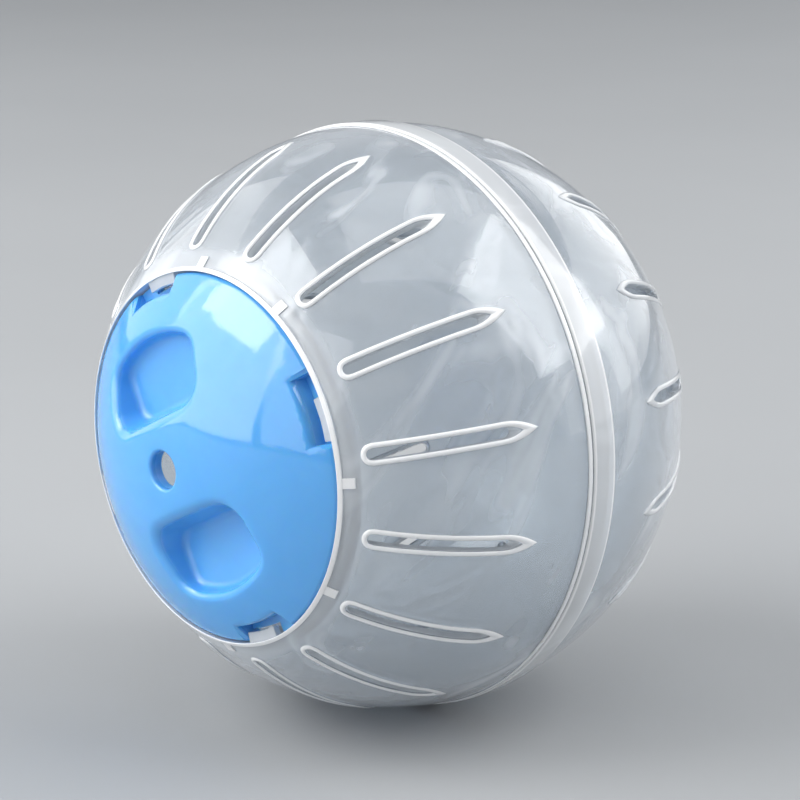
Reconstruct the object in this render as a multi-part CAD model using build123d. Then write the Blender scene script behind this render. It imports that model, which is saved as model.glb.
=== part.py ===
from build123d import *
import os
from math import acos, asin, cos, degrees, radians, sin, sqrt

# A hamster ball of three mouldings: two clear half shells that push together at a
# seam, and a coloured lid that drops into a round door and turns under four lugs.
# Each piece is modelled with its axis along +Z, lid upwards, about the ball's middle.

# Shells
ball_radius = 60.0
shell_wall = 1.8

# Seam: the rear half's band is a socket that takes the front half's spigot
seam_height = 2.9
band_width = 5.7
band_proud = 0.5
band_wall = 1.0
band_round = 0.3
spigot_length = 4.6
spigot_slip = 0.25
seam_groove = 0.3
bead_width = 1.0
bead_proud = 0.25

# Lid
lid_radius = 36.5
crown_drop = 0.2
lid_wall = 1.8
lid_edge_round = 0.6
skirt_depth = 3.7
skirt_wall = 1.6

# Door collar and the seat ring that the lid's skirt stands on
lid_gap = 0.4
collar_wall = 1.4
collar_round = 0.5
seat_reach = 2.0
seat_thickness = 1.2

# Lugs on the collar, and the windows in the lid's rim that pass over them
lug_count = 4
lug_turn = 23.7
lug_angle = 13.6
lug_reach = 2.1
lug_thickness = 1.5
lug_chamfer = 0.9
lug_end_gap = 0.6
lug_lift = 0.3
window_angle = 22.3
window_depth = 3.4
window_wall = 1.5

# Finger recesses on both sides of a grip bar
bar_width = 22.2
recess_width = 25.0
recess_reach = 25.2
recess_depth = 9.5
recess_corner = 4.0
recess_draft = 10.0
recess_wall = 1.6
recess_floor_round = 1.5
recess_mouth_round = 1.6

# Hole through the grip bar
hole_radius = 3.75
hole_depth = 3.0
hole_round = 0.6
boss_wall = 2.25

# Ventilation slots, with gaps and lengths along the shell between the collar and the seam
slot_count = 16
slot_turn = 11.7
slot_gap = 4.0
tail_gap = 12.1
tail_length = 5.0
slot_width = 2.4
lip_width = 0.95
lip_proud = 0.4

# Short ribs that brace the collar, as angles about the axis for each quarter
rib_turns = (4.5, 59.6)
rib_width = 2.0
rib_length = 1.2
rib_proud = 0.3

# Sizes that follow from the ones above
inner_radius = ball_radius - shell_wall
band_radius = ball_radius + band_proud
band_rear = seam_height - band_width
socket_radius = band_radius - band_wall
socket_floor = seam_height - spigot_length
spigot_radius = socket_radius - spigot_slip
shoulder_height = seam_height + seam_groove
bead_top = shoulder_height + bead_width
bead_radius = ball_radius + bead_proud
crown_radius = ball_radius - crown_drop
lid_edge = sqrt(crown_radius**2 - lid_radius**2)
recess_floor = crown_radius - recess_depth
seat_top = lid_edge - skirt_depth
seat_bottom = seat_top - seat_thickness
door_radius = lid_radius + lid_gap
collar_radius = door_radius + collar_wall
lug_radius = door_radius - lug_reach
lug_bottom = lid_edge - lug_thickness
window_radius = lid_radius - window_depth
window_floor = lug_bottom - lug_lift
window_underside = window_floor - window_wall
lid_turn = lug_turn - lug_angle / 2 - lug_end_gap + window_angle / 2
quarter = 360 / lug_count


def on_sphere(radius, polar):
    """Point of a meridian, as distance from the axis and height, at an angle from the pole."""
    return (radius * sin(radians(polar)), radius * cos(radians(polar)))


def polar_at_height(radius, height):
    return degrees(acos(height / radius))


def polar_at_reach(radius, reach):
    return degrees(asin(reach / radius))


def meridian(radius, start, end):
    """Arc of a sphere's outline between two polar angles."""
    middle = (start + end) / 2
    return ThreePointArc(on_sphere(radius, start), on_sphere(radius, middle), on_sphere(radius, end))


def outline(*edges):
    """Closed half section, drawn as distance from the axis against height."""
    return make_face(Curve() + list(edges))


def round_corners(section, corners, radius):
    for corner in corners:
        section = fillet(section.vertices().sort_by_distance(corner)[0], radius)
    return section


def turned(section):
    return revolve(Plane.XZ * section, Axis.Z)


def ring_sector(inner, outer, start, end, bottom, top):
    """Part of a ring between two angles, counted from +X towards +Y."""
    ring = Pos(0, 0, bottom) * extrude(Circle(outer) - Circle(inner), top - bottom)
    wedge_side = 2 * outer
    wedge = Polyline(
        (0, 0),
        (wedge_side * cos(radians(start)), wedge_side * sin(radians(start))),
        (wedge_side * cos(radians(end)), wedge_side * sin(radians(end))),
        close=True,
    )
    return ring & Pos(0, 0, bottom) * extrude(make_face(wedge), top - bottom)


def around(piece, turns):
    return [Rot(0, 0, turn) * piece for turn in turns]


# Polar angles of the collar, of the seam's bead and of the slots between them
collar_polar = polar_at_reach(ball_radius, collar_radius)
bead_polar = polar_at_height(ball_radius, bead_top)
slot_start = collar_polar + degrees(slot_gap / ball_radius)
slot_tail = bead_polar - degrees(tail_gap / ball_radius)
slot_end = slot_tail - degrees(tail_length / ball_radius)
slot_middle = (slot_start + slot_end) / 2
slot_turns = [slot_turn + step * 360 / slot_count for step in range(slot_count)]

# The same slot seen along its own middle: its half length, end centre and tail
slot_half = ball_radius * sin(radians(slot_end - slot_middle))
slot_nose = slot_half - slot_width / 2
slot_tip = ball_radius * sin(radians(slot_tail - slot_middle))
slot_top = ball_radius + shell_wall


def slot_outline(margin, tail):
    """Round start, straight sides and an end that curves in to a tail, wider by a margin all round."""
    radius = slot_width / 2 + margin
    shoulder = (slot_nose, radius)
    start = ThreePointArc((-slot_nose, -radius), (-slot_nose - radius, 0), (-slot_nose, radius))
    curve = TangentArc(shoulder, (tail + margin, 0), tangent=(1, 0))
    side = [Line((-slot_nose, radius), shoulder), curve]
    return make_face(Curve() + [start] + side + [mirror(edge, Plane.XZ) for edge in side])


def make_slot():
    """Opening that is round at both ends inside the shell and climbs to a pointed tail outside."""
    foot = sqrt(inner_radius**2 - slot_half**2)
    head = sqrt(ball_radius**2 - slot_tip**2)
    round_plan = Pos(0, 0, foot) * slot_outline(0, slot_half)
    tail_plan = Pos(0, 0, head) * slot_outline(0, slot_tip)
    opening = loft([round_plan, tail_plan], ruled=True) + extrude(tail_plan, slot_top - head)
    return Rot(0, slot_middle, 0) * opening


def make_lip():
    block = extrude(slot_outline(lip_width, slot_tip), slot_top)
    ring = Rot(0, slot_middle, 0) * block
    return (ring & Sphere(ball_radius + lip_proud)) - Sphere(ball_radius - shell_wall / 2)


def with_slots(shell):
    """Ring of slots on the upper half, each with a raised lip round it."""
    shell = shell + around(make_lip(), slot_turns)
    return shell - around(make_slot(), slot_turns)


def make_lug():
    """Tongue on the collar's inside, chamfered where the lid's tab turns under it."""
    start = lug_turn - lug_angle / 2
    end = lug_turn + lug_angle / 2
    root = door_radius + collar_wall / 2
    tongue = ring_sector(lug_radius, root, start, end, lug_bottom, lid_edge)
    corner = (lug_radius * cos(radians(end)), lug_radius * sin(radians(end)), lug_bottom)
    edge = tongue.edges().filter_by(Axis.Z).sort_by_distance(corner)[0]
    return chamfer(edge, lug_chamfer)


def make_rib():
    """Short radial rib between the collar and the shell."""
    length = rib_length + collar_wall / 2
    middle = collar_radius + rib_length / 2 - collar_wall / 4
    height = ball_radius - seat_bottom
    block = Pos(middle, 0, seat_bottom + height / 2) * Box(length, rib_width, height)
    return block & Sphere(ball_radius + rib_proud)


def make_front_half():
    collar_foot = polar_at_reach(inner_radius, collar_radius)
    spigot_polar = polar_at_height(inner_radius, socket_floor)
    section = outline(
        Polyline(
            on_sphere(inner_radius, collar_foot),
            (collar_radius, seat_bottom),
            (door_radius - seat_reach, seat_bottom),
            (door_radius - seat_reach, seat_top),
            (door_radius, seat_top),
            (door_radius, lid_edge),
            (collar_radius, lid_edge),
            on_sphere(ball_radius, collar_polar),
        ),
        meridian(ball_radius, collar_polar, bead_polar),
        Polyline(
            on_sphere(ball_radius, bead_polar),
            (bead_radius, bead_top),
            (bead_radius, shoulder_height),
            (spigot_radius, shoulder_height),
            (spigot_radius, socket_floor),
            on_sphere(inner_radius, spigot_polar),
        ),
        meridian(inner_radius, spigot_polar, collar_foot),
    )
    section = round_corners(section, [(collar_radius, lid_edge)], collar_round)
    shell = with_slots(turned(section))
    quarters = [step * quarter for step in range(lug_count)]
    for turn in rib_turns:
        shell = shell + around(Rot(0, 0, turn) * make_rib(), quarters)
    return shell + around(make_lug(), quarters)


def make_rear_half():
    """Modelled with its own pole upwards, then turned over about the seam."""
    band_top = -band_rear
    floor = -socket_floor
    band_polar = polar_at_height(ball_radius, band_top)
    floor_polar = polar_at_height(inner_radius, floor)
    section = outline(
        meridian(ball_radius, 0, band_polar),
        Polyline(
            on_sphere(ball_radius, band_polar),
            (band_radius, band_top),
            (band_radius, -seam_height),
            (socket_radius, -seam_height),
            (socket_radius, floor),
            on_sphere(inner_radius, floor_polar),
        ),
        meridian(inner_radius, floor_polar, 0),
        Line(on_sphere(inner_radius, 0), on_sphere(ball_radius, 0)),
    )
    section = round_corners(section, [(band_radius, band_top), (band_radius, -seam_height)], band_round)
    return Rot(180, 0, 0) * with_slots(turned(section))


def recess_block(margin):
    """Drafted pocket on the +Y side of the grip bar, larger by a margin all round."""
    near = bar_width / 2 - margin
    far = recess_reach + margin
    half = recess_width / 2 + margin
    plan = Circle(far) & Pos(0, near + far / 2) * Rectangle(2 * half, far)
    plan = fillet(plan.vertices(), recess_corner + margin)
    return Pos(0, 0, recess_floor - margin) * extrude(plan, ball_radius, taper=-recess_draft)


def make_lid():
    edge_polar = polar_at_reach(crown_radius, lid_radius)
    dome = outline(
        Polyline((0, crown_radius), (0, seat_top), (lid_radius, seat_top), (lid_radius, lid_edge)),
        meridian(crown_radius, edge_polar, 0),
    )
    dome = turned(round_corners(dome, [(lid_radius, lid_edge)], lid_edge_round))

    # Hollow under the dome, less what the recesses, windows and boss leave standing in it
    hollow_radius = lid_radius - skirt_wall
    ceiling_radius = crown_radius - lid_wall
    skirt_polar = polar_at_reach(ceiling_radius, hollow_radius)
    hollow = turned(
        outline(
            Polyline(
                (0, ceiling_radius),
                (0, seat_bottom),
                (hollow_radius, seat_bottom),
                on_sphere(ceiling_radius, skirt_polar),
            ),
            meridian(ceiling_radius, skirt_polar, 0),
        )
    )
    sides = [0, 180]
    quarters = [step * quarter for step in range(lug_count)]
    half_window = window_angle / 2
    wall_angle = degrees(window_wall / window_radius)
    window_box = ring_sector(
        window_radius - window_wall,
        lid_radius,
        -half_window - wall_angle,
        half_window + wall_angle,
        window_underside,
        ball_radius,
    )
    boss_foot = crown_radius - hole_depth
    boss = Pos(0, 0, boss_foot) * extrude(Circle(hole_radius + boss_wall), hole_depth)
    hollow = hollow - around(recess_block(recess_wall), sides)
    hollow = hollow - around(window_box, quarters) - boss
    lid = dome - hollow

    # Recesses, rounded at the floor and at the mouth
    recess = recess_block(0)
    floor_edges = recess.faces().sort_by(Axis.Z)[0].edges()
    recesses = around(fillet(floor_edges, recess_floor_round), sides)
    pierced = lid - recesses
    lid = fillet(new_edges(lid, *recesses, combined=pierced), recess_mouth_round)

    # Windows, and the way through each for its lug
    window = ring_sector(
        window_radius, 2 * lid_radius, -half_window, half_window, window_floor, ball_radius
    )
    passage_end = 2 * lug_end_gap + lug_angle - half_window
    passage = ring_sector(
        lug_radius - lid_gap, 2 * lid_radius, -half_window, passage_end, seat_bottom, ball_radius
    )
    lid = lid - around(window, quarters) - around(passage, quarters)

    # Hole, rounded where a finger meets it
    lid = lid - Pos(0, 0, boss_foot) * extrude(Circle(hole_radius), 2 * hole_depth)
    hole_wall = lid.faces().filter_by(GeomType.CYLINDER).sort_by_distance((0, 0, boss_foot))[0]
    lid = fillet(hole_wall.edges().sort_by(Axis.Z)[-1], hole_round)
    return Rot(0, 0, lid_turn) * lid


# The lid's outward axis lies along -Y when the ball stands on its seam band
stand = Rot(90, 0, 0)
os.makedirs("parts", exist_ok=True)
export_step(stand * make_front_half(), "parts/front_half.step")
export_step(stand * make_rear_half(), "parts/rear_half.step")
export_step(stand * make_lid(), "parts/lid.step")
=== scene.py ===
# %% [markdown]
# A hamster ball, dressed for its picture
#
# The real toy is three plastic mouldings: a clear front half with a round door, a clear
# rear half, and a sky-blue lid that drops into the door. The CAD model already holds
# their sizes and the way they move. This lesson gives each moulding a fine, smooth mesh
# with soft edges, and a finish that behaves like the real plastic.

# %% Load the frame
from math import acos, asin, atan2, ceil, cos, degrees, hypot, pi, radians, sin, sqrt, tan

import bmesh
import bpy
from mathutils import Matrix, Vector
from mathutils.geometry import delaunay_2d_cdt


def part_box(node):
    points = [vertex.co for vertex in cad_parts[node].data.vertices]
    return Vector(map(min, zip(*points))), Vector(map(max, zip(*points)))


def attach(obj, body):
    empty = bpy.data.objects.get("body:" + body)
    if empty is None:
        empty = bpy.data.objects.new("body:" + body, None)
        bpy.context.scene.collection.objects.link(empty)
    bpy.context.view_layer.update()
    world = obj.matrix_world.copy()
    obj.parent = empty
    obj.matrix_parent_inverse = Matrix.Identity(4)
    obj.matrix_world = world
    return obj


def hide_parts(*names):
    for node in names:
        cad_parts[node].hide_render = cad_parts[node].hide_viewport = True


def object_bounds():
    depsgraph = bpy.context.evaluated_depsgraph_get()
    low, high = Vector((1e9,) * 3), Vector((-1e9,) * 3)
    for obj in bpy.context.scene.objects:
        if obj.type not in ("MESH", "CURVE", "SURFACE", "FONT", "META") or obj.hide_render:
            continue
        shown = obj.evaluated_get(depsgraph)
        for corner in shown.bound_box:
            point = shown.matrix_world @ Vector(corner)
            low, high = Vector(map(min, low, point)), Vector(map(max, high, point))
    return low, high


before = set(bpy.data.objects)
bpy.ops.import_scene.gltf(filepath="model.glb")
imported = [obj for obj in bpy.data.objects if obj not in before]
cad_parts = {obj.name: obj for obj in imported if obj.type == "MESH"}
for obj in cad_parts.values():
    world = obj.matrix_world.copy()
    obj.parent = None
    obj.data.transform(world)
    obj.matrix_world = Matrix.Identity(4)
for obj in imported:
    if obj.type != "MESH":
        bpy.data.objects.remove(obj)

cad_low, cad_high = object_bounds()
MM = 0.001
print("nodes", sorted(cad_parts), "box", [round(v / MM, 1) for v in cad_high - cad_low])

# %% [markdown]
# Sizes in millimetres
#
# Every moulding is described about the ball's own axis: "height" is measured along it,
# out through the lid, and "reach" is the distance from it. The overall sizes are read
# from the CAD boxes, so a new model.glb moves the looks with it. The rest are the wall
# thicknesses and clearances that a mould maker would note on the drawing.

# %% Sizes
lid_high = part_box("lid")[1] / MM
front_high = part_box("front_half")[1] / MM
rear_low, rear_high = (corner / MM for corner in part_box("rear_half"))

ball = rear_high.y
wall = 1.8
inside = ball - wall

lid_sink = 0.2
crown = ball - lid_sink
lid_reach = lid_high.x
lid_edge = sqrt(crown**2 - lid_reach**2)

door_slip = 0.4
collar_width = 1.4
rim_width = 0.9
rim_proud = 0.4
seat_ledge = 2.0
seat_thickness = 1.2
door_reach = lid_reach + door_slip
collar_reach = door_reach + collar_width
rim_reach = door_reach + rim_width
rim_crown = ball + rim_proud
seat_reach = door_reach - seat_ledge
seat_top = -lid_high.y
seat_low = seat_top - seat_thickness

band_width = 5.7
socket_wall = 1.0
spigot_slip = 0.25
bead_gap = 0.3
bead_width = 1.0
band_reach = rear_high.x
band_front = -rear_low.y
band_rear = band_front - band_width
socket_reach = band_reach - socket_wall
spigot_end = -front_high.y
spigot_reach = socket_reach - spigot_slip
bead_reach = front_high.x
bead_low = band_front + bead_gap
bead_high = bead_low + bead_width
print("ball radius", round(ball, 2), "lid radius", round(lid_reach, 2), "seam", round(band_front, 2))

# %% [markdown]
# Points, patches and meshes
#
# Most of a moulded shell is a grid of points: rows along a profile, columns around the
# axis. So the first tools turn rows of points into quads, join patches into one mesh
# and stand the mesh up, because the ball's axis lies along Y when it stands on a floor.

# %% Mesh tools
def stand_front(point):
    return Vector((point[0], -point[2], point[1])) * MM


def stand_rear(point):
    return Vector((point[0], point[2], -point[1])) * MM


def add_grid(shape, rows, closed=False):
    """Quads between neighbouring rows of points."""
    verts = [[shape.verts.new(point) for point in row] for row in rows]
    columns = len(rows[0])
    last = columns if closed else columns - 1
    for near, far in zip(verts, verts[1:]):
        for c in range(last):
            d = (c + 1) % columns
            shape.faces.new((near[c], near[d], far[d], far[c]))
    return verts


def tidy_mesh(shape, gap=1e-4):
    """Merge what touches and turn every face outwards."""
    bmesh.ops.remove_doubles(shape, verts=shape.verts, dist=gap)
    bmesh.ops.dissolve_degenerate(shape, edges=shape.edges, dist=gap)
    bmesh.ops.recalc_face_normals(shape, faces=shape.faces)


def make_piece(name, shape, stand):
    """Object at the origin, with its place in its mesh."""
    for vert in shape.verts:
        vert.co = stand(vert.co)
    mesh = bpy.data.meshes.new(name)
    shape.to_mesh(mesh)
    shape.free()
    piece = bpy.data.objects.new(name, mesh)
    bpy.context.scene.collection.objects.link(piece)
    return piece


print("the front pole stands at", [round(v / MM, 1) for v in stand_front((0, 0, ball))])

# %% [markdown]
# Profiles
#
# A turned moulding is drawn as half of its cross-section, as for a lathe. A Bevel
# modifier could round the finished mesh, but it treats every edge alike. So the corners
# are rounded in the profile, where each can have the size that its mould has.

# %% Profile tools
CORNER_SHARE = 0.45


def on_ball(radius, polar):
    """Reach and height of a ball's outline at an angle from its pole."""
    return (radius * sin(radians(polar)), radius * cos(radians(polar)))


def polar_at(radius, reach):
    return degrees(asin(reach / radius))


def ball_run(radius, start, end, step=1.2):
    """Points along a ball's outline between two polar angles."""
    count = max(1, ceil(abs(end - start) / step))
    return [on_ball(radius, start + (end - start) * k / count) for k in range(count + 1)]


def soft_corner(before, corner, after, size, steps=4):
    """Points of a round corner that starts and ends at a distance from the sharp one."""
    b, c, a = Vector(before), Vector(corner), Vector(after)
    start = c + (b - c).normalized() * size
    end = c + (a - c).normalized() * size
    weight = sin((b - c).angle(a - c) / 2)
    points = []
    for k in range(steps + 1):
        t = k / steps
        shares = ((1 - t) ** 2, 2 * t * (1 - t) * weight, t**2)
        points.append((start * shares[0] + c * shares[1] + end * shares[2]) / sum(shares))
    return [tuple(point) for point in points]


def soft_profile(points, size):
    """A line of straight runs with all its inner corners rounded."""
    result = [points[0]]
    for before, corner, after in zip(points, points[1:], points[2:]):
        room = min(hypot(corner[0] - p[0], corner[1] - p[1]) for p in (before, after))
        result += soft_corner(before, corner, after, min(size, CORNER_SHARE * room))
    return result + [points[-1]]


print("the door's edge lies", round(polar_at(ball, door_reach), 1), "degrees from the pole")

# %% [markdown]
# Geometry Nodes: copies around the axis
#
# The slots, lugs, ribs and windows all repeat around the ball's axis. One node tree
# does that for all of them: it puts a point for each copy at the centre, turns an
# instance of the piece to each point's angle, makes the instances real and welds the
# seams between neighbours. A small class lets Python sums stand for Math nodes.

# %% Node tools
class Value:
    """An output socket that Python can do sums with."""

    def __init__(self, tree, socket):
        self.tree = tree
        self.socket = socket

    def math(self, operation, first, second=0.0):
        return self.tree.add("ShaderNodeMath", {"operation": operation}, {0: first, 1: second})

    def __add__(self, other):
        return self.math("ADD", self, other)

    def __radd__(self, other):
        return self.math("ADD", other, self)

    def __sub__(self, other):
        return self.math("SUBTRACT", self, other)

    def __rsub__(self, other):
        return self.math("SUBTRACT", other, self)

    def __mul__(self, other):
        return self.math("MULTIPLY", self, other)

    def __rmul__(self, other):
        return self.math("MULTIPLY", other, self)

    def __truediv__(self, other):
        return self.math("DIVIDE", self, other)

    def __rtruediv__(self, other):
        return self.math("DIVIDE", other, self)

    def __abs__(self):
        return self.math("ABSOLUTE", self)


class Tree:
    """A node tree whose nodes are added by type, settings and inputs."""

    def __init__(self, tree):
        self.tree = tree

    def add(self, kind, settings=None, inputs=None, out=0):
        node = self.tree.nodes.new(kind)
        for name, value in (settings or {}).items():
            setattr(node, name, value)
        for name, value in (inputs or {}).items():
            if isinstance(value, Value):
                self.tree.links.new(value.socket, node.inputs[name])
            else:
                node.inputs[name].default_value = value
        if len(node.outputs) == 0:
            return None
        return Value(self, node.outputs[out])


# %% Copies around the axis
def build_copies_tree():
    group = bpy.data.node_groups.new("copies_around_axis", "GeometryNodeTree")
    face = group.interface
    face.new_socket("Geometry", in_out="INPUT", socket_type="NodeSocketGeometry")
    face.new_socket("Copies", in_out="INPUT", socket_type="NodeSocketInt")
    face.new_socket("First turn", in_out="INPUT", socket_type="NodeSocketFloat")
    face.new_socket("Weld gap", in_out="INPUT", socket_type="NodeSocketFloat")
    face.new_socket("Material", in_out="INPUT", socket_type="NodeSocketMaterial")
    face.new_socket("Geometry", in_out="OUTPUT", socket_type="NodeSocketGeometry")
    tree = Tree(group)
    given = group.nodes.new("NodeGroupInput")
    piece, copies, first, gap, material = (Value(tree, given.outputs[k]) for k in range(5))
    points = tree.add("GeometryNodeMeshLine", {}, {"Count": copies, "Offset": (0, 0, 0)})
    turn = first + tree.add("GeometryNodeInputIndex") * (2 * pi / copies)
    euler = tree.add("ShaderNodeCombineXYZ", {}, {"Y": 0.0 - turn})
    rotation = tree.add("FunctionNodeEulerToRotation", {}, {0: euler})
    placed = tree.add(
        "GeometryNodeInstanceOnPoints", {}, {"Points": points, "Instance": piece, "Rotation": rotation}
    )
    real = tree.add("GeometryNodeRealizeInstances", {}, {"Geometry": placed})
    welded = tree.add("GeometryNodeMergeByDistance", {}, {"Geometry": real, "Distance": gap})
    smooth = tree.add("GeometryNodeSetShadeSmooth", {}, {"Geometry": welded})
    painted = tree.add("GeometryNodeSetMaterial", {}, {"Geometry": smooth, "Material": material})
    tree.add("NodeGroupOutput", {}, {0: painted})
    return group


copies_tree = build_copies_tree()
SOCKETS = {
    item.name: item.identifier
    for item in copies_tree.interface.items_tree
    if item.in_out == "INPUT"
}
WELD_GAP = 0.00001


def settle(piece):
    """Turn a piece's modifiers into plain mesh."""
    evaluated = piece.evaluated_get(bpy.context.evaluated_depsgraph_get())
    mesh = bpy.data.meshes.new_from_object(evaluated)
    piece.modifiers.clear()
    piece.data = mesh
    return piece


def copies_around(piece, copies, material, first_turn=0.0, weld_gap=WELD_GAP):
    """Repeat a piece about the ball's axis and make the result one mesh."""
    modifier = piece.modifiers.new("copies", "NODES")
    modifier.node_group = copies_tree
    modifier[SOCKETS["Copies"]] = copies
    modifier[SOCKETS["First turn"]] = radians(first_turn)
    modifier[SOCKETS["Weld gap"]] = weld_gap
    modifier[SOCKETS["Material"]] = material
    return settle(piece)


print("tree", copies_tree.name, "with inputs", sorted(SOCKETS))

# %% [markdown]
# Clear plastic: where it looks white, with painted highlights
#
# The shells are clear plastic, but whatever leaves the wall's own two surfaces, such as a
# slot's lip or the seam band, is thicker and scatters more light, so it looks white. The
# same white also stands for the highlights that the rounded lips, the cut slot walls and
# the band's edges catch: there it is a painted highlight. That mask could be painted by
# hand. Here it is computed instead: it is the distance from the wall's two radii.
# The band's middle and the rear half's lips are fainter than the rest, and the band's two
# edges keep their painted highlight.

# %% Material tools
def new_material(name):
    material = bpy.data.materials.new(name)
    material.use_nodes = True
    material.node_tree.nodes.clear()
    return material, Tree(material.node_tree)


def ramp(tree, value, low, high):
    """0 below low, 1 above high and a smooth step between."""
    inputs = {"Value": value, "From Min": low, "From Max": high}
    return tree.add("ShaderNodeMapRange", {"interpolation_type": "SMOOTHSTEP"}, inputs)


# %% Thick places and painted highlights
NEAR_SKIN = 0.03
OFF_SKIN = 0.2
CUT_PAINTED_HIGHLIGHT = 0.5
COLLAR_CLEAR = 0.6
COLLAR_FADE = 0.5
BAND_CLEAR = 0.42
BAND_MARGIN = 0.3
BAND_FADE = 0.2
EDGE_HIGHLIGHT_WIDTH = 0.75
EDGE_HIGHLIGHT_FADE = 0.4
REAR_CLEAR = 0.4
REAR_FADE = 2.0


def thick_and_highlit_places(tree, distance, height):
    """Mask of what lies off the wall's two surfaces, and of the cut edges between them: thicker
    plastic and painted highlights.
    """
    # Lips, ribs, band, seat and cut slot walls turn white: partly thicker plastic, partly a painted
    # highlight
    outer = ramp(tree, distance, (ball + NEAR_SKIN) * MM, (ball + OFF_SKIN) * MM)
    inner = 1.0 - ramp(tree, distance, (inside - OFF_SKIN) * MM, (inside - NEAR_SKIN) * MM)
    off_middle = abs(distance - (ball - wall / 2) * MM)
    cut = 1.0 - ramp(tree, off_middle, (wall / 2 - OFF_SKIN) * MM, (wall / 2 - NEAR_SKIN) * MM)
    collar = ramp(tree, height, (seat_low - COLLAR_FADE) * MM, seat_top * MM)
    return outer + (inner + CUT_PAINTED_HIGHLIGHT * cut) * (1.0 - COLLAR_CLEAR * collar)


def white_share(tree, height):
    """Share of its white, partly painted highlight, that a thick place keeps, along the ball's axis.
    """
    seam_middle = (band_front + band_rear) / 2
    seam_half = band_width / 2
    from_seam = abs(height - seam_middle * MM)
    band = ramp(tree, (seam_half + BAND_MARGIN) * MM - from_seam, 0.0, BAND_FADE * MM)
    from_edge = abs(from_seam - seam_half * MM)
    # The band's two rounded edges stay white: a painted highlight
    band_edge_highlight = ramp(tree, EDGE_HIGHLIGHT_WIDTH * MM - from_edge, 0.0, EDGE_HIGHLIGHT_FADE * MM)
    rear = ramp(tree, (band_rear - BAND_MARGIN) * MM - height, 0.0, REAR_FADE * MM)
    return (1.0 - BAND_CLEAR * band * (1.0 - band_edge_highlight)) * (1.0 - REAR_CLEAR * rear)


print("plain wall from", round(inside, 1), "to", round(ball, 1), "mm from the centre")

# %% [markdown]
# Clear plastic: haze, flow marks and painted light
#
# Plain wall has a faint milky haze: light goes through, but softened. A pure glass shader
# looks too clean, and a pale paint looks too solid, so the finish mixes the two. Plastic
# that cooled as it flowed leaves long, soft marks, made from noise that is drawn out along
# one direction; the strongest of them are milkier streaks that also stand in for the bright
# reflection streaks on the shell, so they are partly painted reflection. Near the door the
# wall is made milkier as painted light, so that the dimly lit collar wall behind it shows no
# dark band. Towards the ball's outline the eye looks along the wall and through more
# plastic, so the haze grows there, and a Layer Weight node gives that angle.

# %% Flow marks and painted reflection streaks
FLOW_WAY = (0.17, 0.51, 0.84)
FLOW_DRAW = 0.75
STREAK_START = 0.54
STREAK_FULL = 0.72


def vector_math(tree, operation, inputs, out=0):
    return tree.add("ShaderNodeVectorMath", {"operation": operation}, inputs, out)


def flow_and_reflection_streaks(tree, place):
    """Long thin marks along the way that the plastic flowed, which also serve as painted reflection
    streaks.
    """
    along = vector_math(tree, "DOT_PRODUCT", {0: place, 1: FLOW_WAY}, out=1)
    drawn = vector_math(tree, "SCALE", {0: FLOW_WAY, "Scale": FLOW_DRAW * along})
    squeezed = vector_math(tree, "SUBTRACT", {0: place, 1: drawn})
    marks = tree.add(
        "ShaderNodeTexNoise", {"noise_dimensions": "3D"},
        {"Vector": squeezed, "Scale": 55.0, "Detail": 2.0, "Roughness": 0.4, "Distortion": 1.6},
    )
    return ramp(tree, marks, STREAK_START, STREAK_FULL)


print("flow marks are about", round(1 / (1 - FLOW_DRAW)), "times as long as wide")

# %% Clear plastic
PLAIN_HAZE = 0.13
FLOW_HAZE = 0.17
STREAK_AND_REFLECTION_HAZE = 0.22
DOOR_PAINTED_LIGHT = 0.22
LIMB_HAZE = 0.45
THICK_AND_HIGHLIGHT_HAZE = 0.83
LIMB_START = 0.5
LIMB_FULL = 0.95
door_painted_light_start = 42.6
door_painted_light_full = 46.0


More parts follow.
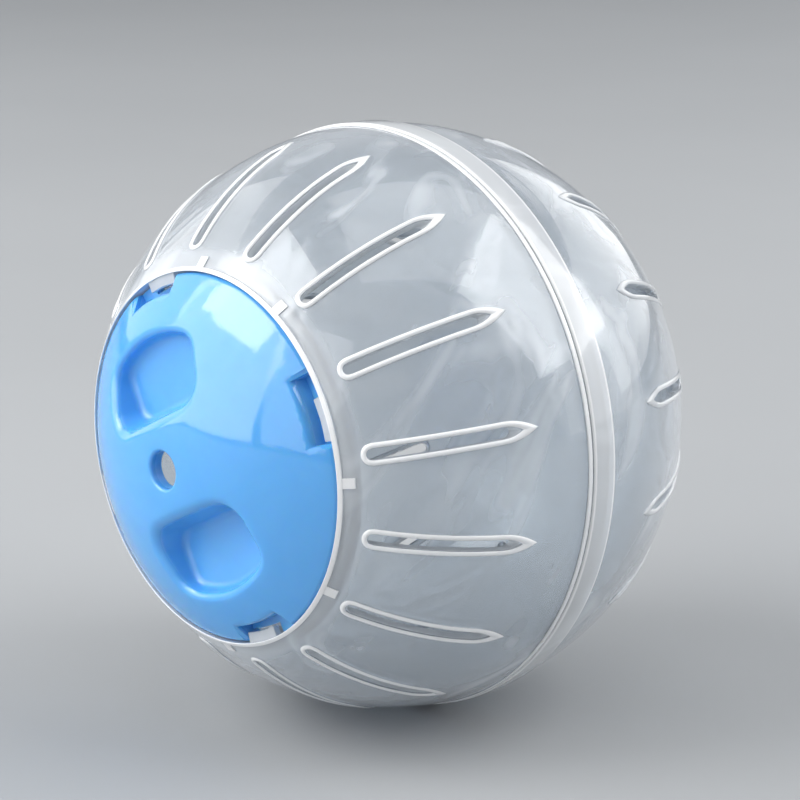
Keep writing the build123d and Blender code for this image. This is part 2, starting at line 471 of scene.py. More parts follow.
def clear_plastic():
    material, tree = new_material("clear_plastic")
    place = tree.add("ShaderNodeTexCoord", {}, {}, out=3)
    distance = vector_math(tree, "LENGTH", {0: place}, out=1)
    height = tree.add("ShaderNodeSeparateXYZ", {}, {0: place}, out=1) * -1.0
    # White: thicker plastic plus painted highlights on lips, cut walls and band edges
    white = thick_and_highlit_places(tree, distance, height) * white_share(tree, height)

    flow = tree.add(
        "ShaderNodeTexNoise", {"noise_dimensions": "3D"},
        {"Vector": place, "Scale": 38.0, "Detail": 2.0, "Roughness": 0.45, "Distortion": 1.2},
    )
    ripple = tree.add("ShaderNodeBump", {}, {"Strength": 0.25, "Distance": 0.004, "Height": flow})
    # Near the door the haze is raised as painted light, so the dimly lit collar wall behind shows no
    # dark band
    near_door = ramp(tree, height, door_painted_light_start * MM, door_painted_light_full * MM)
    facing = tree.add("ShaderNodeLayerWeight", {}, {"Blend": 0.5}, out=1)
    limb = ramp(tree, facing, LIMB_START, LIMB_FULL)
    # Flow marks, with streaks that are partly painted reflection, make the haze uneven
    marks = FLOW_HAZE * flow + STREAK_AND_REFLECTION_HAZE * flow_and_reflection_streaks(tree, place)
    plain = PLAIN_HAZE + marks + DOOR_PAINTED_LIGHT * near_door + LIMB_HAZE * limb
    haze = plain * (1.0 - white) + THICK_AND_HIGHLIGHT_HAZE * white

    surface = {
        "Roughness": 0.1 + 0.14 * flow, "IOR": 1.46,
        "Coat Weight": 0.8, "Coat Roughness": 0.03, "Normal": ripple,
    }
    clear = tree.add(
        "ShaderNodeBsdfPrincipled", {},
        {"Base Color": (0.83, 0.89, 0.94, 1), "Transmission Weight": 1.0, **surface},
    )
    tint = tree.add(
        "ShaderNodeMix", {"data_type": "RGBA"},
        {"Factor": white, 6: (0.80, 0.84, 0.88, 1), 7: (0.97, 0.97, 0.97, 1)}, out=2,
    )
    milky = tree.add("ShaderNodeBsdfPrincipled", {}, {"Base Color": tint, **surface})
    mixed = tree.add("ShaderNodeMixShader", {}, {0: haze, 1: clear, 2: milky})
    tree.add("ShaderNodeOutputMaterial", {}, {"Surface": mixed})
    return material


shell_finish = clear_plastic()
print("material", shell_finish.name, "with", len(shell_finish.node_tree.nodes), "nodes")

# %% [markdown]
# Ventilation slots
#
# Each half has a ring of long slots that let air in. A slot has a round start towards the
# pole, straight sides, and a tail that thins to a point towards the seam. It could be
# cut from a flat outline. Here the outline is drawn flat, from arcs and straight runs with
# points at even distances, and is then lifted onto the ball. Wider and narrower outlines
# all have as many points, so quads can join them.

# %% Slot outlines
SLOTS = 16
slot_turn = 11.7
slot_width = 2.2
slot_gap = 4.0
tail_gap = 12.1
tail_length = 5.0
bead_polar = degrees(acos(bead_high / ball))
slot_start = polar_at(ball, collar_reach) + degrees(slot_gap / ball)
slot_tail = bead_polar - degrees(tail_gap / ball)
slot_end = slot_tail - degrees(tail_length / ball)
slot_middle = (slot_start + slot_end) / 2
slot_half = ball * sin(radians(slot_end - slot_middle))
slot_nose = slot_half - slot_width / 2
slot_tip = ball * sin(radians(slot_tail - slot_middle))
SIDE_STEPS = 30
END_STEPS = 12
NOSE_STEPS = 24
SHOULDER_STEPS = 8
FRONT_ARC = 60


def even_points(points, count):
    """Points at even distances along a line of points, both ends included."""
    lengths = [0.0]
    for a, b in zip(points, points[1:]):
        lengths.append(lengths[-1] + hypot(b[0] - a[0], b[1] - a[1]))
    result = []
    k = 0
    for step in range(count + 1):
        want = lengths[-1] * step / count
        while k < len(lengths) - 2 and lengths[k + 1] < want:
            k += 1
        share = (want - lengths[k]) / max(lengths[k + 1] - lengths[k], 1e-9)
        a, b = points[k], points[k + 1]
        result.append((a[0] + (b[0] - a[0]) * share, a[1] + (b[1] - a[1]) * share))
    return result


def nose_arc(radius, start, end, steps):
    """Part of a slot's round start."""
    turns = [radians(start + (end - start) * k / steps) for k in range(steps + 1)]
    return [(-slot_nose + radius * cos(t), radius * sin(t)) for t in turns]


def tail_arc(margin, tail, steps=16):
    """Curve from a slot's straight side to the end of its tail."""
    radius = slot_width / 2 + margin
    run = tail + margin - slot_nose
    bend = (run**2 + radius**2) / (2 * radius)
    turns = [2 * atan2(radius, run) * k / steps for k in range(steps + 1)]
    return [(slot_nose + bend * sin(t), radius - bend + bend * cos(t)) for t in turns]


def slot_loop(margin, tail):
    """Loop round a slot in its own plane, starting at the lower corner of its round start."""
    radius = slot_width / 2 + margin
    nose = nose_arc(radius, 180 + FRONT_ARC, 180 - FRONT_ARC, NOSE_STEPS)
    shoulder = nose_arc(radius, 180 - FRONT_ARC, 90, SHOULDER_STEPS)
    curve = tail_arc(margin, tail)
    split = len(curve) * 3 // 4
    tip = curve[split - 1 :]
    front = even_points(nose, END_STEPS)
    side = even_points(shoulder + curve[:split], SIDE_STEPS)
    end = even_points(tip + [(x, -y) for x, y in reversed(tip[:-1])], END_STEPS)
    back = [(x, -y) for x, y in reversed(side)]
    return front[:-1] + side[:-1] + end[:-1] + back[:-1]


def over_slot(place, radius):
    """Point of a ball straight above a place in the slot's own plane."""
    x, y = place
    z = sqrt(radius**2 - x**2 - y**2)
    turn = radians(slot_middle)
    return (x * cos(turn) + z * sin(turn), y, z * cos(turn) - x * sin(turn))


slot_angles = [round(angle, 1) for angle in (slot_start, slot_end, slot_tail)]
print("slot starts, ends and tails off at", slot_angles, "degrees from the pole")

# %% [markdown]
# One panel of a shell
#
# A raised, rounded lip runs round each slot. Cutting the slots with booleans would leave
# ragged shading on such a glossy wall. Instead, one panel, a slot wide, is woven from
# closed loops: from the panel's border in to the lip, over the lip, down the slot's wall
# and out again along the inner surface. Copies of the panel then make the whole ring.

# %% Panel border
HALF_PANEL = 180 / SLOTS
# Plain wall beyond a slot's two ends, in degrees
TOP_MARGIN = 1.9
FOOT_MARGIN = 4.0
panel_top = slot_start - TOP_MARGIN
panel_foot = slot_tail + FOOT_MARGIN


def border_loop():
    """Polar and turn angles round the edge of a panel, in step with the slot's loop."""
    ends = [-HALF_PANEL + 2 * HALF_PANEL * k / END_STEPS for k in range(END_STEPS)]
    sides = [panel_top + (panel_foot - panel_top) * k / SIDE_STEPS for k in range(SIDE_STEPS)]
    loop = [(panel_top, turn) for turn in ends]
    loop += [(polar, HALF_PANEL) for polar in sides]
    loop += [(panel_foot, -turn) for turn in ends]
    loop += [(panel_foot + panel_top - polar, -HALF_PANEL) for polar in sides]
    return loop


def at_angles(radius, polar, turn):
    reach, height = on_ball(radius, polar)
    return (reach * cos(radians(turn)), reach * sin(radians(turn)), height)


def wall_loops(radius, foot, shares):
    """Loops over plain wall from a panel's border to a loop near its slot."""
    loops = []
    for share in shares:
        loop = []
        for (polar, turn), point in zip(border_loop(), foot):
            near_polar = degrees(acos(point[2] / radius))
            near_turn = degrees(atan2(point[1], point[0]))
            mixed = (polar + (near_polar - polar) * share, turn + (near_turn - turn) * share)
            loop.append(at_angles(radius, *mixed))
        loops.append(loop)
    return loops


print("panel", round(2 * HALF_PANEL, 1), "degrees wide, border of", len(border_loop()), "points")

# %% Panel
# Steps over the lip: margin round the slot, rise above the ball, share of the tail
LIP_STEPS = (
    (1.1, 0.0, 1.0), (1.02, 0.16, 0.98), (0.84, 0.34, 0.93), (0.58, 0.42, 0.84),
    (0.32, 0.38, 0.72), (0.12, 0.24, 0.62), (0.0, 0.02, 0.55),
)
GROOVE_SHARE = LIP_STEPS[-1][2]
DOWN_SHARES = (0.25, 0.6, 0.9)
WALL_SHARES = (0.0, 0.3, 0.55, 0.75, 0.9)
INNER_SOFT = 0.25


def tail_end(share):
    """Where a loop ends that follows a share of the tail."""
    return slot_half + (slot_tip - slot_half) * share


def between(start, end, share):
    """Loop of places part of the way from one loop to another."""
    pairs = zip(start, end)
    return [(a[0] + (b[0] - a[0]) * share, a[1] + (b[1] - a[1]) * share) for a, b in pairs]


def slot_panel(shape):
    lip = []
    for margin, rise, share in LIP_STEPS:
        lip.append([over_slot(p, ball + rise) for p in slot_loop(margin, tail_end(share))])
    groove = slot_loop(0.0, tail_end(GROOVE_SHARE))
    opening = slot_loop(0.0, slot_half)
    wall_down = []
    for share in DOWN_SHARES:
        loop = between(groove, opening, share)
        wall_down.append([over_slot(p, ball - wall * share) for p in loop])
    inner_foot = [over_slot(p, inside) for p in slot_loop(INNER_SOFT, slot_half)]
    loops = wall_loops(ball, lip[0], WALL_SHARES) + lip + wall_down + [inner_foot]
    loops += reversed(wall_loops(inside, inner_foot, WALL_SHARES))
    add_grid(shape, loops, closed=True)


def add_turned(shape, profile):
    """Sweep a profile through one panel's width."""
    turns = [radians(-HALF_PANEL + 2 * HALF_PANEL * k / END_STEPS) for k in range(END_STEPS + 1)]
    add_grid(shape, [[(r * cos(t), r * sin(t), h) for t in turns] for r, h in profile])


print("groove ends", round(slot_tip - tail_end(GROOVE_SHARE), 1), "mm before the tail's tip")

# %% [markdown]
# The front half
#
# Above the slots, the front half ends in the door's collar, with a seat ring inside for
# the lid. Below them it ends in a small bead and a thin spigot that pushes into the rear
# half. Both are profiles turned about the axis, with every corner softened, because a
# moulded edge is never sharp and the soft corner is what catches the light.

# %% Front half
# Runs of plain wall beside a corner are in degrees, soft corners in millimetres
RIM_RUN = 0.7
FOOT_RUN = 0.5
EDGE_RUN = 0.8
ROOT_RUN = 1.0
DOOR_SOFT = 0.25
BEAD_SOFT = 0.2


def door_profile():
    rim = polar_at(rim_crown, rim_reach)
    foot = polar_at(inside, collar_reach)
    corners = [
        on_ball(ball, rim + RIM_RUN),
        on_ball(ball, rim),
        on_ball(rim_crown, rim),
        on_ball(rim_crown, polar_at(rim_crown, door_reach)),
        (door_reach, seat_top),
        (seat_reach, seat_top),
        (seat_reach, seat_low),
        (collar_reach, seat_low),
        on_ball(inside, foot),
        on_ball(inside, foot + FOOT_RUN),
    ]
    outer = ball_run(ball, panel_top, rim + RIM_RUN)
    inner = ball_run(inside, foot + FOOT_RUN, panel_top)
    return outer[:-1] + soft_profile(corners, DOOR_SOFT) + inner[1:]


def seam_profile(edge, steps, root, soft):
    """From the panel's foot over the steps of a seam and back along the inner wall."""
    start = edge - EDGE_RUN
    end = root - ROOT_RUN
    corners = [on_ball(ball, start), on_ball(ball, edge)]
    corners += steps
    corners += [on_ball(inside, root), on_ball(inside, end)]
    outer = ball_run(ball, panel_foot, start)
    inner = ball_run(inside, end, panel_foot)
    return outer[:-1] + soft_profile(corners, soft) + inner[1:]


def spigot_profile():
    bead = [(bead_reach, bead_high), (bead_reach, bead_low)]
    spigot = [(spigot_reach, bead_low), (spigot_reach, spigot_end)]
    root = degrees(acos(spigot_end / inside))
    return seam_profile(bead_polar, bead + spigot, root, BEAD_SOFT)


def make_front_shell():
    shape = bmesh.new()
    slot_panel(shape)
    add_turned(shape, door_profile())
    add_turned(shape, spigot_profile())
    tidy_mesh(shape)
    panel = make_piece("front_shell", shape, stand_front)
    return copies_around(panel, SLOTS, shell_finish, first_turn=slot_turn)


front_shell = make_front_shell()
print("front shell", len(front_shell.data.polygons), "faces")

# %% [markdown]
# The rear half
#
# The rear half has the same ring of slots, a plain round pole, and the socket band that
# stands proud at the seam. It is drawn pole up as well and turned over when it is stood
# behind the front half.

# %% Rear half
BAND_SOFT = 0.3
POLE_GAP = 0.02
POLE_WELD = 0.00005


def band_profile():
    band = [(band_reach, -band_rear), (band_reach, -band_front)]
    socket = [(socket_reach, -band_front), (socket_reach, -spigot_end)]
    edge = degrees(acos(-band_rear / ball))
    root = degrees(acos(-spigot_end / inside))
    return seam_profile(edge, band + socket, root, BAND_SOFT)


def make_rear_shell():
    shape = bmesh.new()
    slot_panel(shape)
    add_turned(shape, ball_run(ball, panel_top, POLE_GAP))
    add_turned(shape, ball_run(inside, POLE_GAP, panel_top))
    add_turned(shape, band_profile())
    tidy_mesh(shape)
    panel = make_piece("rear_shell", shape, stand_rear)
    return copies_around(panel, SLOTS, shell_finish, first_turn=-slot_turn, weld_gap=POLE_WELD)


rear_shell = make_rear_shell()
print("rear shell", len(rear_shell.data.polygons), "faces")

# %% [markdown]
# Small prisms: lugs and ribs
#
# Four lugs stand on the inside of the collar and hold the lid. Short ribs brace the
# collar from outside. Both are prisms: an outline in plan, lofted through a few heights,
# with the heights free to follow the ball. They repeat around the axis and are then
# joined to the shell by a boolean, so the clear plastic has no walls inside it.

# %% Prism tools
LUGS = 4


def loft(levels):
    """Closed prism through outlines that all have as many points."""
    shape = bmesh.new()
    verts = add_grid(shape, levels, closed=True)
    shape.faces.new(verts[0])
    shape.faces.new(list(reversed(verts[-1])))
    bmesh.ops.recalc_face_normals(shape, faces=shape.faces)
    return shape


def sector(inner, outer, start, end, steps=10):
    """Plan of part of a ring between two angles."""
    turns = [radians(start + (end - start) * k / steps) for k in range(steps + 1)]
    near = [(inner * cos(t), inner * sin(t)) for t in turns]
    far = [(outer * cos(t), outer * sin(t)) for t in reversed(turns)]
    return near + far


def at_height(plan, height):
    return [(x, y, height) for x, y in plan]


def shrunk(plan, margin):
    """The plan drawn in towards its middle."""
    middle = sum((Vector(p) for p in plan), Vector((0, 0))) / len(plan)
    return [tuple(Vector(p) + (middle - Vector(p)).normalized() * margin) for p in plan]


def prisms_around(name, levels, finish, turn=0.0):
    """A lofted prism beside each lug's place."""
    return copies_around(make_piece(name, loft(levels), stand_front), LUGS, finish, first_turn=turn)


def combine(piece, other, operation):
    """Boolean of two closed meshes, after which the second is gone."""
    modifier = piece.modifiers.new("combine", "BOOLEAN")
    modifier.operation = operation
    modifier.solver = "MANIFOLD"
    modifier.object = other
    settle(piece)
    bpy.data.objects.remove(other)
    return piece


print("prisms repeat every", 360 / LUGS, "degrees")

# %% Lugs and ribs
rim_middle = door_reach + rim_width / 2
lug_start = 16.9
lug_span = 13.6
lug_depth = 2.1
lug_height = 1.5
lug_drop = 0.05
LUG_EDGE = 0.15
rib_turns = (4.5, 59.6)
rib_overhang = 1.2
rib_half = 1.0
rib_proud = 0.3
RIB_STEPS = 6


def make_lugs():
    plan = sector(door_reach - lug_depth, rim_middle, lug_start, lug_start + lug_span)
    small = shrunk(plan, LUG_EDGE)
    low = lid_edge - lug_height
    high = lid_edge - lug_drop
    levels = [at_height(small, low), at_height(plan, low + LUG_EDGE)]
    levels += [at_height(plan, high - LUG_EDGE), at_height(small, high)]
    return prisms_around("lugs", levels, shell_finish)


def make_ribs(turn):
    length = collar_reach + rib_overhang - rim_middle
    across = [rim_middle + length * k / RIB_STEPS for k in range(RIB_STEPS + 1)]
    plan = [(x, -rib_half) for x in across] + [(x, rib_half) for x in reversed(across)]
    levels = []
    for radius in (ball - wall / 2, ball + rib_proud):
        levels.append([(x, y, sqrt(radius**2 - x**2 - y**2)) for x, y in plan])
    return prisms_around("ribs", levels, shell_finish, turn)


for part in [make_lugs()] + [make_ribs(turn) for turn in rib_turns]:
    combine(front_shell, part, "UNION")
print("front shell with lugs and ribs", len(front_shell.data.polygons), "faces")

# %% [markdown]
# Blue plastic
#
# The lid is solid sky-blue plastic with a high gloss. Its colour is not quite even: thin
# pigment streaks follow the mould's flow, and handling leaves a faint unevenness in the
# gloss. Low roughness and a high index of refraction give the sharp reflections of its
# dome. The recesses, which a mould maker can't polish as well, are a little rougher, so
# the reflections there are soft.

# %% Blue plastic
POLISH = 0.06
WEAR_ROUGH = 0.05
RECESS_ROUGH = 0.22
recess_rough_start = 0.4
recess_rough_full = 1.6


def blue_plastic():
    material, tree = new_material("blue_plastic")
    place = tree.add("ShaderNodeTexCoord", {}, {}, out=3)
    streaks = tree.add(
        "ShaderNodeTexNoise", {},
        {"Vector": place, "Scale": 60.0, "Detail": 3.0, "Roughness": 0.5, "Distortion": 1.5},
    )
    wear = tree.add("ShaderNodeTexNoise", {}, {"Vector": place, "Scale": 160.0, "Detail": 3.0})
    below = crown * MM - vector_math(tree, "LENGTH", {0: place}, out=1)
    recess = ramp(tree, below, recess_rough_start * MM, recess_rough_full * MM)
    colour = tree.add(
        "ShaderNodeMix", {"data_type": "RGBA"},
        {"Factor": streaks, 6: (0.09, 0.395, 0.82, 1), 7: (0.115, 0.435, 0.86, 1)}, out=2,
    )
    bump = tree.add("ShaderNodeBump", {}, {"Strength": 0.08, "Distance": 0.001, "Height": streaks})
    skin = tree.add(
        "ShaderNodeBsdfPrincipled", {},
        {
            "Base Color": colour, "Roughness": POLISH + WEAR_ROUGH * wear + RECESS_ROUGH * recess,
            "IOR": 1.75, "Subsurface Weight": 0.5, "Subsurface Radius": (0.1, 0.4, 1.0),
            "Subsurface Scale": 0.002, "Normal": bump,
        },
    )
    tree.add("ShaderNodeOutputMaterial", {}, {"Surface": skin})
    return material


lid_finish = blue_plastic()
print("material", lid_finish.name, "with", len(lid_finish.node_tree.nodes), "nodes")

# %% [markdown]
# Finger recesses
#
# Two finger recesses lie on either side of the lid's grip bar. A subdivision surface would
# round everything alike, and a boolean has sharp edges. So each recess starts from the
# outline of its floor, made of arcs and straight sides, and every point also keeps the
# direction that leads out of the recess there.

# %% Recess outline
recess_depth = 9.5
floor_height = crown - recess_depth
bar_half = 11.1
recess_half = 12.5
recess_far = 25.2
recess_corner = 4.0
NEAR_STEPS = 10
FAR_STEPS = 8
FLANK_STEPS = 6
CREST_STEPS = 20
BAR_STEPS = 18


def pushed(place, way, distance):
    return (place[0] + way[0] * distance, place[1] + way[1] * distance)


def bow(centre, radius, start, end, steps):
    """Places along an arc, each with its outward direction."""
    result = []
    for k in range(steps + 1):
        turn = radians(start + (end - start) * k / steps)
        way = (cos(turn), sin(turn))
        result.append((pushed(centre, way, radius), way))
    return result


def side(start, end, way, steps):
    """Places between the two ends of a straight side."""
    result = []
    for k in range(1, steps):
        x = start[0] + (end[0] - start[0]) * k / steps
        y = start[1] + (end[1] - start[1]) * k / steps
        result.append(((x, y), way))
    return result


def recess_outline():
    """Places and outward directions round a recess at its floor."""
    x = recess_half - recess_corner
    low = bar_half + recess_corner
    high = sqrt((recess_far - recess_corner) ** 2 - x**2)
    lean = degrees(atan2(high, x))
    points = bow((x, low), recess_corner, -90, 0, NEAR_STEPS)
    points += side((recess_half, low), (recess_half, high), (1, 0), FLANK_STEPS)
    points += bow((x, high), recess_corner, 0, lean, FAR_STEPS)
    points += bow((0, 0), recess_far, lean, 180 - lean, CREST_STEPS)[1:-1]
    points += bow((-x, high), recess_corner, 180 - lean, 180, FAR_STEPS)
    points += side((-recess_half, high), (-recess_half, low), (-1, 0), FLANK_STEPS)
    points += bow((-x, low), recess_corner, 180, 270, NEAR_STEPS)
    points += side((-x, bar_half), (x, bar_half), (0, -1), BAR_STEPS)
    return points


print("recess outline", len(recess_outline()), "points")

# %% [markdown]
# From the dome down to the floor
#
# A finger slides over a recess's mouth, so its edge and its foot are well rounded, and its
# wall leans out by a few degrees of draft so that the lid leaves its mould. Each point of
# the outline gets a column of points: over the soft edge, down the wall and round the
# foot. Read across, the columns are rings that quads can join.

# %% Recess rings
draft_angle = 10
draft = tan(radians(draft_angle))
SOFT_EDGE = 2.0
SOFT_FOOT = 1.5
SOFT_SHARE = 0.47
COLUMN_STEPS = 7
MEETING_ROUNDS = 20


def dome(place, radius=crown):
    return sqrt(radius**2 - place[0] ** 2 - place[1] ** 2)


def onto_dome(loop, radius=crown):
    return [(x, y, dome((x, y), radius)) for x, y, _ in loop]


def mouth_distance(place, way, floor, radius):
    """How far out a drafted wall from the floor meets the dome."""
    distance = 0.0
    for _ in range(MEETING_ROUNDS):
        distance = (dome(pushed(place, way, distance), radius) - floor) * draft
    return distance


def recess_column(place, way):
    """Points down one line of a recess, from the dome to the floor."""
    out = mouth_distance(place, way, floor_height, crown)
    top = (out, dome(pushed(place, way, out)))
    foot = (0.0, floor_height)
    room = SOFT_SHARE * hypot(top[0] - foot[0], top[1] - foot[1])
    edge = min(SOFT_EDGE, room)
    toe = min(SOFT_FOOT, room)
    before = (out + edge, dome(pushed(place, way, out + edge)))
    column = soft_corner(before, top, foot, edge, COLUMN_STEPS)
    column += soft_corner(top, foot, (-1.0, floor_height), toe, COLUMN_STEPS)
    return [(*pushed(place, way, d), h) for d, h in column]


def turned_half(point, half):
    return point if half == 0 else (-point[0], -point[1], *point[2:])


def column_rings(make_column, half):
    """The columns all round a recess, read as rings."""
    columns = [make_column(place, way) for place, way in recess_outline()]
    return [[turned_half(column[k], half) for column in columns] for k in range(len(columns[0]))]


def lid_recess(half):
    rings = column_rings(recess_column, half)
    return [onto_dome(rings[0])] + rings[1:]


recess_rings = [lid_recess(half) for half in (0, 1)]
print("recess", len(recess_rings[0]), "rings of", len(recess_rings[0][0]), "points")

# %% [markdown]
# The lid's dome
#
# The lid continues the ball's curve between its rim, the recesses and the hole in the grip
# bar. Quads can't flow round all of those outlines without pinching. So the dome is
# triangulated between them, with an even field of points, and each point is lifted onto
# the ball.

# %% Triangulated domes
ROW_STEP = sqrt(0.75)
RIM_CLEAR = 0.5
POINT_CLEAR = 0.55
SAME_PLACE = 1e-5


def inside_loop(place, loop):
    """Whether a place lies inside a closed outline."""
    x, y = place
    hit = False
    for a, b in zip(loop, loop[1:] + loop[:1]):
        if (a[1] > y) != (b[1] > y) and x < a[0] + (b[0] - a[0]) * (y - a[1]) / (b[1] - a[1]):
            hit = not hit
    return hit


def field_points(loops, fence, pitch):
    """Even points inside the first outline, clear of its edge and of the other outlines."""
    limit = hypot(*loops[0][0])
    rows = ceil(2 * limit / (pitch * ROW_STEP))
    field = []
    for row in range(-rows // 2, rows // 2 + 1):
        y = row * pitch * ROW_STEP
        for column in range(-rows, rows + 1):
            place = Vector((column * pitch + (row % 2) * pitch / 2, y))
            if place.length > limit - RIM_CLEAR * pitch:
                continue
            if any(inside_loop(place, loop) for loop in loops[1:]):
                continue
            if min((place - other).length_squared for other in fence) > (POINT_CLEAR * pitch) ** 2:
                field.append(place)
    return field


def add_dome(shape, radius, rim, holes, pitch):
    """Triangles over a ball between a round rim and the outlines of holes."""
    loops = [[(p[0], p[1]) for p in loop] for loop in [rim] + holes]
    fence = [Vector(p) for loop in loops for p in loop]
    edges = []
    first = 0
    for loop in loops:
        count = len(loop)
        edges += [(first + k, first + (k + 1) % count) for k in range(count)]
        first += count
    places = fence + field_points(loops, fence, pitch)
    points, _, faces = delaunay_2d_cdt(places, edges, [], 0, SAME_PLACE)[:3]
    verts = [shape.verts.new((p.x, p.y, dome(p, radius))) for p in points]
    for face in faces:
        middle = sum((points[k] for k in face), Vector((0, 0))) / len(face)
        if not any(inside_loop(middle, loop) for loop in loops[1:]):
            shape.faces.new([verts[k] for k in face])
    print("dome of radius", round(radius, 1), "mm from", len(points), "points")


# %% [markdown]
# Inside the lid
#
# Under the dome the lid is hollow: the recesses hang down as two cups, a short boss
# stands round the hole and a skirt reaches down to the seat ring. The underside shows
# when the lid is off, so it is built the same way as the top.

# %% Rim, bore and cups
lid_wall = 1.8
skirt_wall = 1.6
skirt_drop = 1.0
hole_reach = 3.75
boss_wall = 2.25
boss_depth = 3.0
cup_wall = 1.6
lid_inside = crown - lid_wall
skirt_reach = lid_reach - skirt_wall
skirt_top = lid_edge - skirt_drop
boss_reach = hole_reach + boss_wall
boss_foot = crown - boss_depth
CUP_SOFT = 1.2
RIM_SOFT = 0.7
SKIRT_SOFT = 0.3
MOUTH_SOFT = 0.7
MOUTH_POLAR = 6.0
RIM_STEPS = 240
HOLE_STEPS = 48


def turned_rings(profile, steps):
    """Rings of points about the axis, with the first one on the dome."""
    turns = [2 * pi * k / steps for k in range(steps)]
    rings = [[(r * cos(t), r * sin(t), h) for t in turns] for r, h in profile]
    return [onto_dome(rings[0])] + rings[1:]


def lid_rim():
    """From the dome over the rim, down the skirt and up its inside."""
    start = on_ball(crown, polar_at(crown, lid_reach) - RIM_RUN)
    outer = soft_corner(start, (lid_reach, lid_edge), (lid_reach, seat_top), RIM_SOFT, steps=5)
    skirt = [(lid_reach, skirt_top), (lid_reach, seat_top)]
    skirt += [(skirt_reach, seat_top), (skirt_reach, dome((skirt_reach, 0), lid_inside))]
    return turned_rings(outer + soft_profile(skirt, SKIRT_SOFT), RIM_STEPS)


def lid_bore():
    """From the dome down through the hole and up the outside of its boss."""
    edge = (hole_reach, dome((hole_reach, 0)))
    foot = (hole_reach, boss_foot)
    mouth = soft_corner(on_ball(crown, MOUTH_POLAR), edge, foot, MOUTH_SOFT)
    boss = [foot, (boss_reach, boss_foot), (boss_reach, dome((boss_reach, 0), lid_inside))]
    return turned_rings(mouth + boss, HOLE_STEPS)


def cup_column(place, way):
    """Points down the underside of a recess."""
    low = floor_height - cup_wall
    outside = pushed(place, way, cup_wall)
    out = mouth_distance(outside, way, low, lid_inside)
    top = (out, dome(pushed(outside, way, out), lid_inside))
    column = [top] + soft_corner(top, (0.0, low), (-1.0, low), CUP_SOFT)
    return [(*pushed(outside, way, d), h) for d, h in column]


print("lid", lid_wall, "mm thick, skirt down to", round(seat_top, 1), "mm")

# %% Lid body
OUTER_PITCH = 1.3
INNER_PITCH = 2.2
LID_WELD = 1e-3


def make_lid_body():
    shape = bmesh.new()
    rim = lid_rim()
    bore = lid_bore()
    for rings in (rim, bore):
        add_grid(shape, rings, closed=True)
    cups = [column_rings(cup_column, half) for half in (0, 1)]
    for rings in recess_rings + cups:
        verts = add_grid(shape, rings, closed=True)
        shape.faces.new(verts[-1])
    add_dome(shape, crown, rim[0], [bore[0]] + [rings[0] for rings in recess_rings], OUTER_PITCH)
    add_dome(shape, lid_inside, rim[-1], [bore[-1]] + [rings[0] for rings in cups], INNER_PITCH)
    tidy_mesh(shape, LID_WELD)
    return make_piece("lid_top", shape, stand_front)


lid_top = make_lid_body()
print("lid", len(lid_top.data.polygons), "faces")

# %% [markdown]
# Rim windows
#
# Four windows in the lid's rim pass over the shell's lugs. Each is a notch with a wall
# behind it and a floor under it, part of which is open so that the lug can drop through;
# the rest is the tab that turns under the lug. These edges are crisp on the real lid, so
# booleans suit them: cutters with a flared mouth leave a small bevel along the dome.

# %% Rim windows
window_span = 22.3
window_depth = 3.4
window_wall = 1.5
lug_gap = 0.3
lug_play = 0.6
tab_thickness = 1.5
passage_depth = 2.5
past_rim = 45.0
above_lid = 70.0
half_window = window_span / 2
window_reach = lid_reach - window_depth
window_floor = lid_edge - lug_height - lug_gap
window_low = window_floor - tab_thickness
passage_reach = door_reach - passage_depth
FLARE = 0.35
BOX_DROP = 0.9
BOX_INSET = 0.05
PASSAGE_INSET = 0.02
PASSAGE_RISE = 0.5


def on_dome(plan, lift):
    return [(x, y, dome((x, y)) + lift) for x, y in plan]


def window_boxes():
    half = half_window + degrees(window_wall / window_reach)
    plan = sector(window_reach - window_wall, lid_reach - BOX_INSET, -half, half)
    levels = [at_height(plan, window_low), on_dome(plan, -BOX_DROP)]
    return prisms_around("window_boxes", levels, lid_finish)


def window_cutters():
    plan = sector(window_reach, past_rim, -half_window, half_window)
    wide = half_window + degrees(2 * FLARE / window_reach)
    flared = sector(window_reach - 2 * FLARE, past_rim, -wide, wide)
    levels = [at_height(plan, window_floor), on_dome(plan, -FLARE)]
    levels += [on_dome(flared, FLARE), at_height(flared, above_lid)]
    return prisms_around("window_cutters", levels, lid_finish)


def passage_cutters():
    end = 2 * lug_play + lug_span - half_window
    plan = sector(passage_reach, past_rim, -half_window + PASSAGE_INSET, end)
    levels = [at_height(plan, seat_low), at_height(plan, window_floor + PASSAGE_RISE)]
    return prisms_around("passage_cutters", levels, lid_finish)


combine(lid_top, window_boxes(), "UNION")
combine(lid_top, window_cutters(), "DIFFERENCE")
combine(lid_top, passage_cutters(), "DIFFERENCE")
lid_turn = lug_start - lug_play + half_window
copies_around(lid_top, 1, lid_finish, first_turn=lid_turn)
print("lid with windows", len(lid_top.data.polygons), "faces")

# %% [markdown]
# Which piece is what
#
# Each visual piece is now parented to the CAD body that carries it, and the CAD node that
# it stands for is hidden. Edges that turn sharply are marked so
# that smooth shading stops at them.

# %% Hand the pieces to the frame
SHARP = radians(38)
for piece, body, slot_name in (
    (front_shell, "front_half", "clear_plastic"),
    (rear_shell, "rear_half", "clear_plastic"),
    (lid_top, "lid", "blue_plastic"),
):
    piece.data.set_sharp_from_angle(angle=SHARP)
    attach(piece, body)
    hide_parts(body)
    print(piece.name, "rides", body)

# %% [markdown]
# Floor
#
# The ball stands on a wide, plain, pale floor that fills the picture behind it. A bent
# backdrop would do as well, but a floor is enough from a camera that looks down. A faint
# mottle keeps it from looking computed.

# %% Floor
floor_side = 8.0


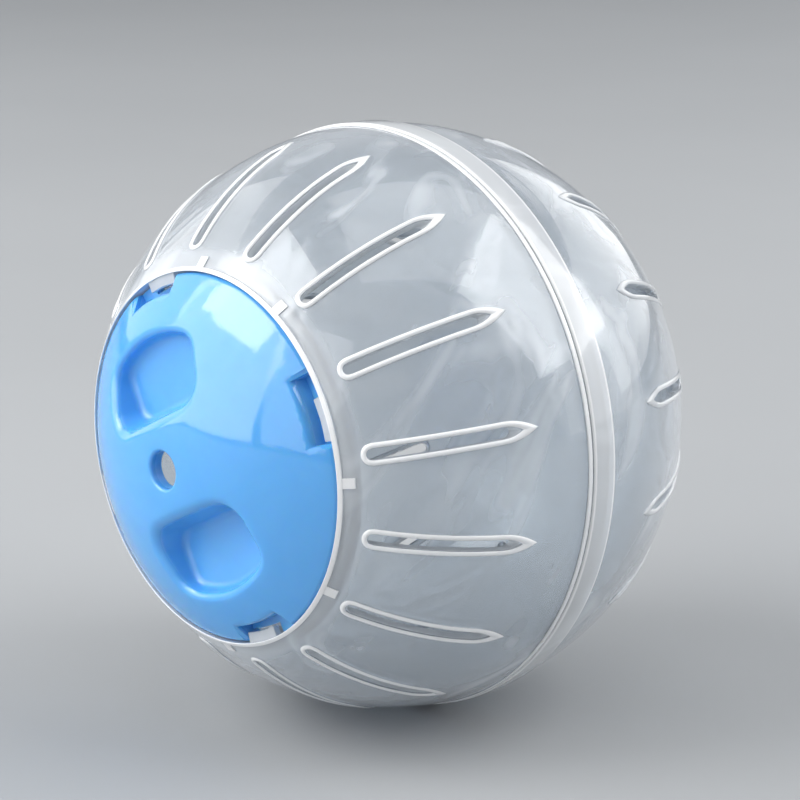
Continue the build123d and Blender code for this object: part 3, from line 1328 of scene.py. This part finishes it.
def floor_finish():
    material, tree = new_material("floor_finish")
    place = tree.add("ShaderNodeTexCoord", {}, {}, out=3)
    mottle = tree.add("ShaderNodeTexNoise", {}, {"Vector": place, "Scale": 6.0, "Detail": 3.0})
    colour = tree.add(
        "ShaderNodeMix", {"data_type": "RGBA"},
        {"Factor": mottle, 6: (0.35, 0.36, 0.37, 1), 7: (0.38, 0.39, 0.40, 1)}, out=2,
    )
    skin = tree.add("ShaderNodeBsdfPrincipled", {}, {"Base Color": colour, "Roughness": 0.8})
    tree.add("ShaderNodeOutputMaterial", {}, {"Surface": skin})
    return material


shape = bmesh.new()
bmesh.ops.create_grid(shape, x_segments=2, y_segments=2, size=floor_side / 2)
bmesh.ops.translate(shape, verts=shape.verts, vec=(0, 0, cad_low.z))
mesh = bpy.data.meshes.new("floor")
shape.to_mesh(mesh)
shape.free()
floor = bpy.data.objects.new("floor", mesh)
bpy.context.scene.collection.objects.link(floor)
floor.data.materials.append(floor_finish())
print("floor", floor_side, "m wide at height", round(cad_low.z / MM, 1), "mm")

# %% [markdown]
# Light
#
# The light is a plain, soft room: a large window to the left of the lid with a brighter
# skylight above it, dim walls on either side of that window, a window with a dim wall
# under it to the right, another window behind, and a soft ceiling. On a glossy ball the
# lamps are seen as reflections, so their shapes count as much as their power: the
# window's edge is the curved line across the lid.

# %% Light
# Each lamp's place and size in metres, and its power in watts
lamps = {
    "left_window": ((-0.7, -1.17, 0.6), (1.5, 1.35), 16.2),
    "left_wall": ((-1.37, -0.24, 0.6), (1.1, 1.2), 5.2),
    "front_wall": ((0.3, -1.38, 0.56), (0.78, 1.2), 4.2),
    "skylight": ((-0.55, -0.87, 1.1), (0.95, 0.9), 11.0),
    "right_window": ((0.84, 0.75, 1.0), (1.2, 1.2), 14.6),
    "right_wall": ((1.0, 1.05, 0.3), (1.0, 0.7), 2.4),
    "back_window": ((0.1, 1.5, 0.5), (1.8, 0.9), 6.5),
    "ceiling": ((0.2, 0.3, 2.0), (1.8, 1.8), 10.5),
}


def add_lamp(name, place, size, power):
    """Soft lamp that faces the ball's centre."""
    data = bpy.data.lights.new(name, "AREA")
    data.shape = "RECTANGLE"
    data.size, data.size_y = size
    data.energy = power
    lamp = bpy.data.objects.new(name, data)
    lamp.location = place
    lamp.rotation_euler = (-Vector(place)).to_track_quat("-Z", "Y").to_euler()
    bpy.context.scene.collection.objects.link(lamp)


for name, (place, size, power) in lamps.items():
    add_lamp(name, place, size, power)

world = bpy.data.worlds.new("studio")
bpy.context.scene.world = world
world.use_nodes = True
world.node_tree.nodes.clear()
sky = Tree(world.node_tree)
background = sky.add("ShaderNodeBackground", {}, {"Color": (0.72, 0.78, 0.86, 1), "Strength": 0.25})
sky.add("ShaderNodeOutputWorld", {}, {"Surface": background})
print(len(lamps), "lamps")

# %% [markdown]
# Camera
#
# The picture was taken from the lid's right, a little above the ball. The camera stands
# there, far enough away for the same slight perspective, and is moved sideways with its
# target so that the ball lands where it is in the photograph. Half the view is given as
# the tangent of its angle.

# %% Camera
azimuth = radians(46.7)
elevation = radians(15.0)
radii_away = 9.5
distance = radii_away * ball * MM
half_view = 0.14461
frame_pixels = 800
ball_pixel = (389.1, 414.3)

way = Vector((sin(azimuth) * cos(elevation), -cos(azimuth) * cos(elevation), sin(elevation)))
turn = way.to_track_quat("Z", "Y")
pixel = distance * half_view / (frame_pixels / 2)
aside = turn @ Vector((1, 0, 0)) * (frame_pixels / 2 - ball_pixel[0]) * pixel
above = turn @ Vector((0, 1, 0)) * (ball_pixel[1] - frame_pixels / 2) * pixel
camera_data = bpy.data.cameras.new("camera")
camera_data.sensor_width = 36.0
camera_data.lens = camera_data.sensor_width / (2 * half_view)
camera = bpy.data.objects.new("camera", camera_data)
camera.location = way * distance + aside + above
camera.rotation_euler = turn.to_euler()
bpy.context.scene.collection.objects.link(camera)
bpy.context.scene.camera = camera
bpy.context.scene.view_settings.view_transform = "Standard"
print("lens", round(camera_data.lens, 1), "mm")
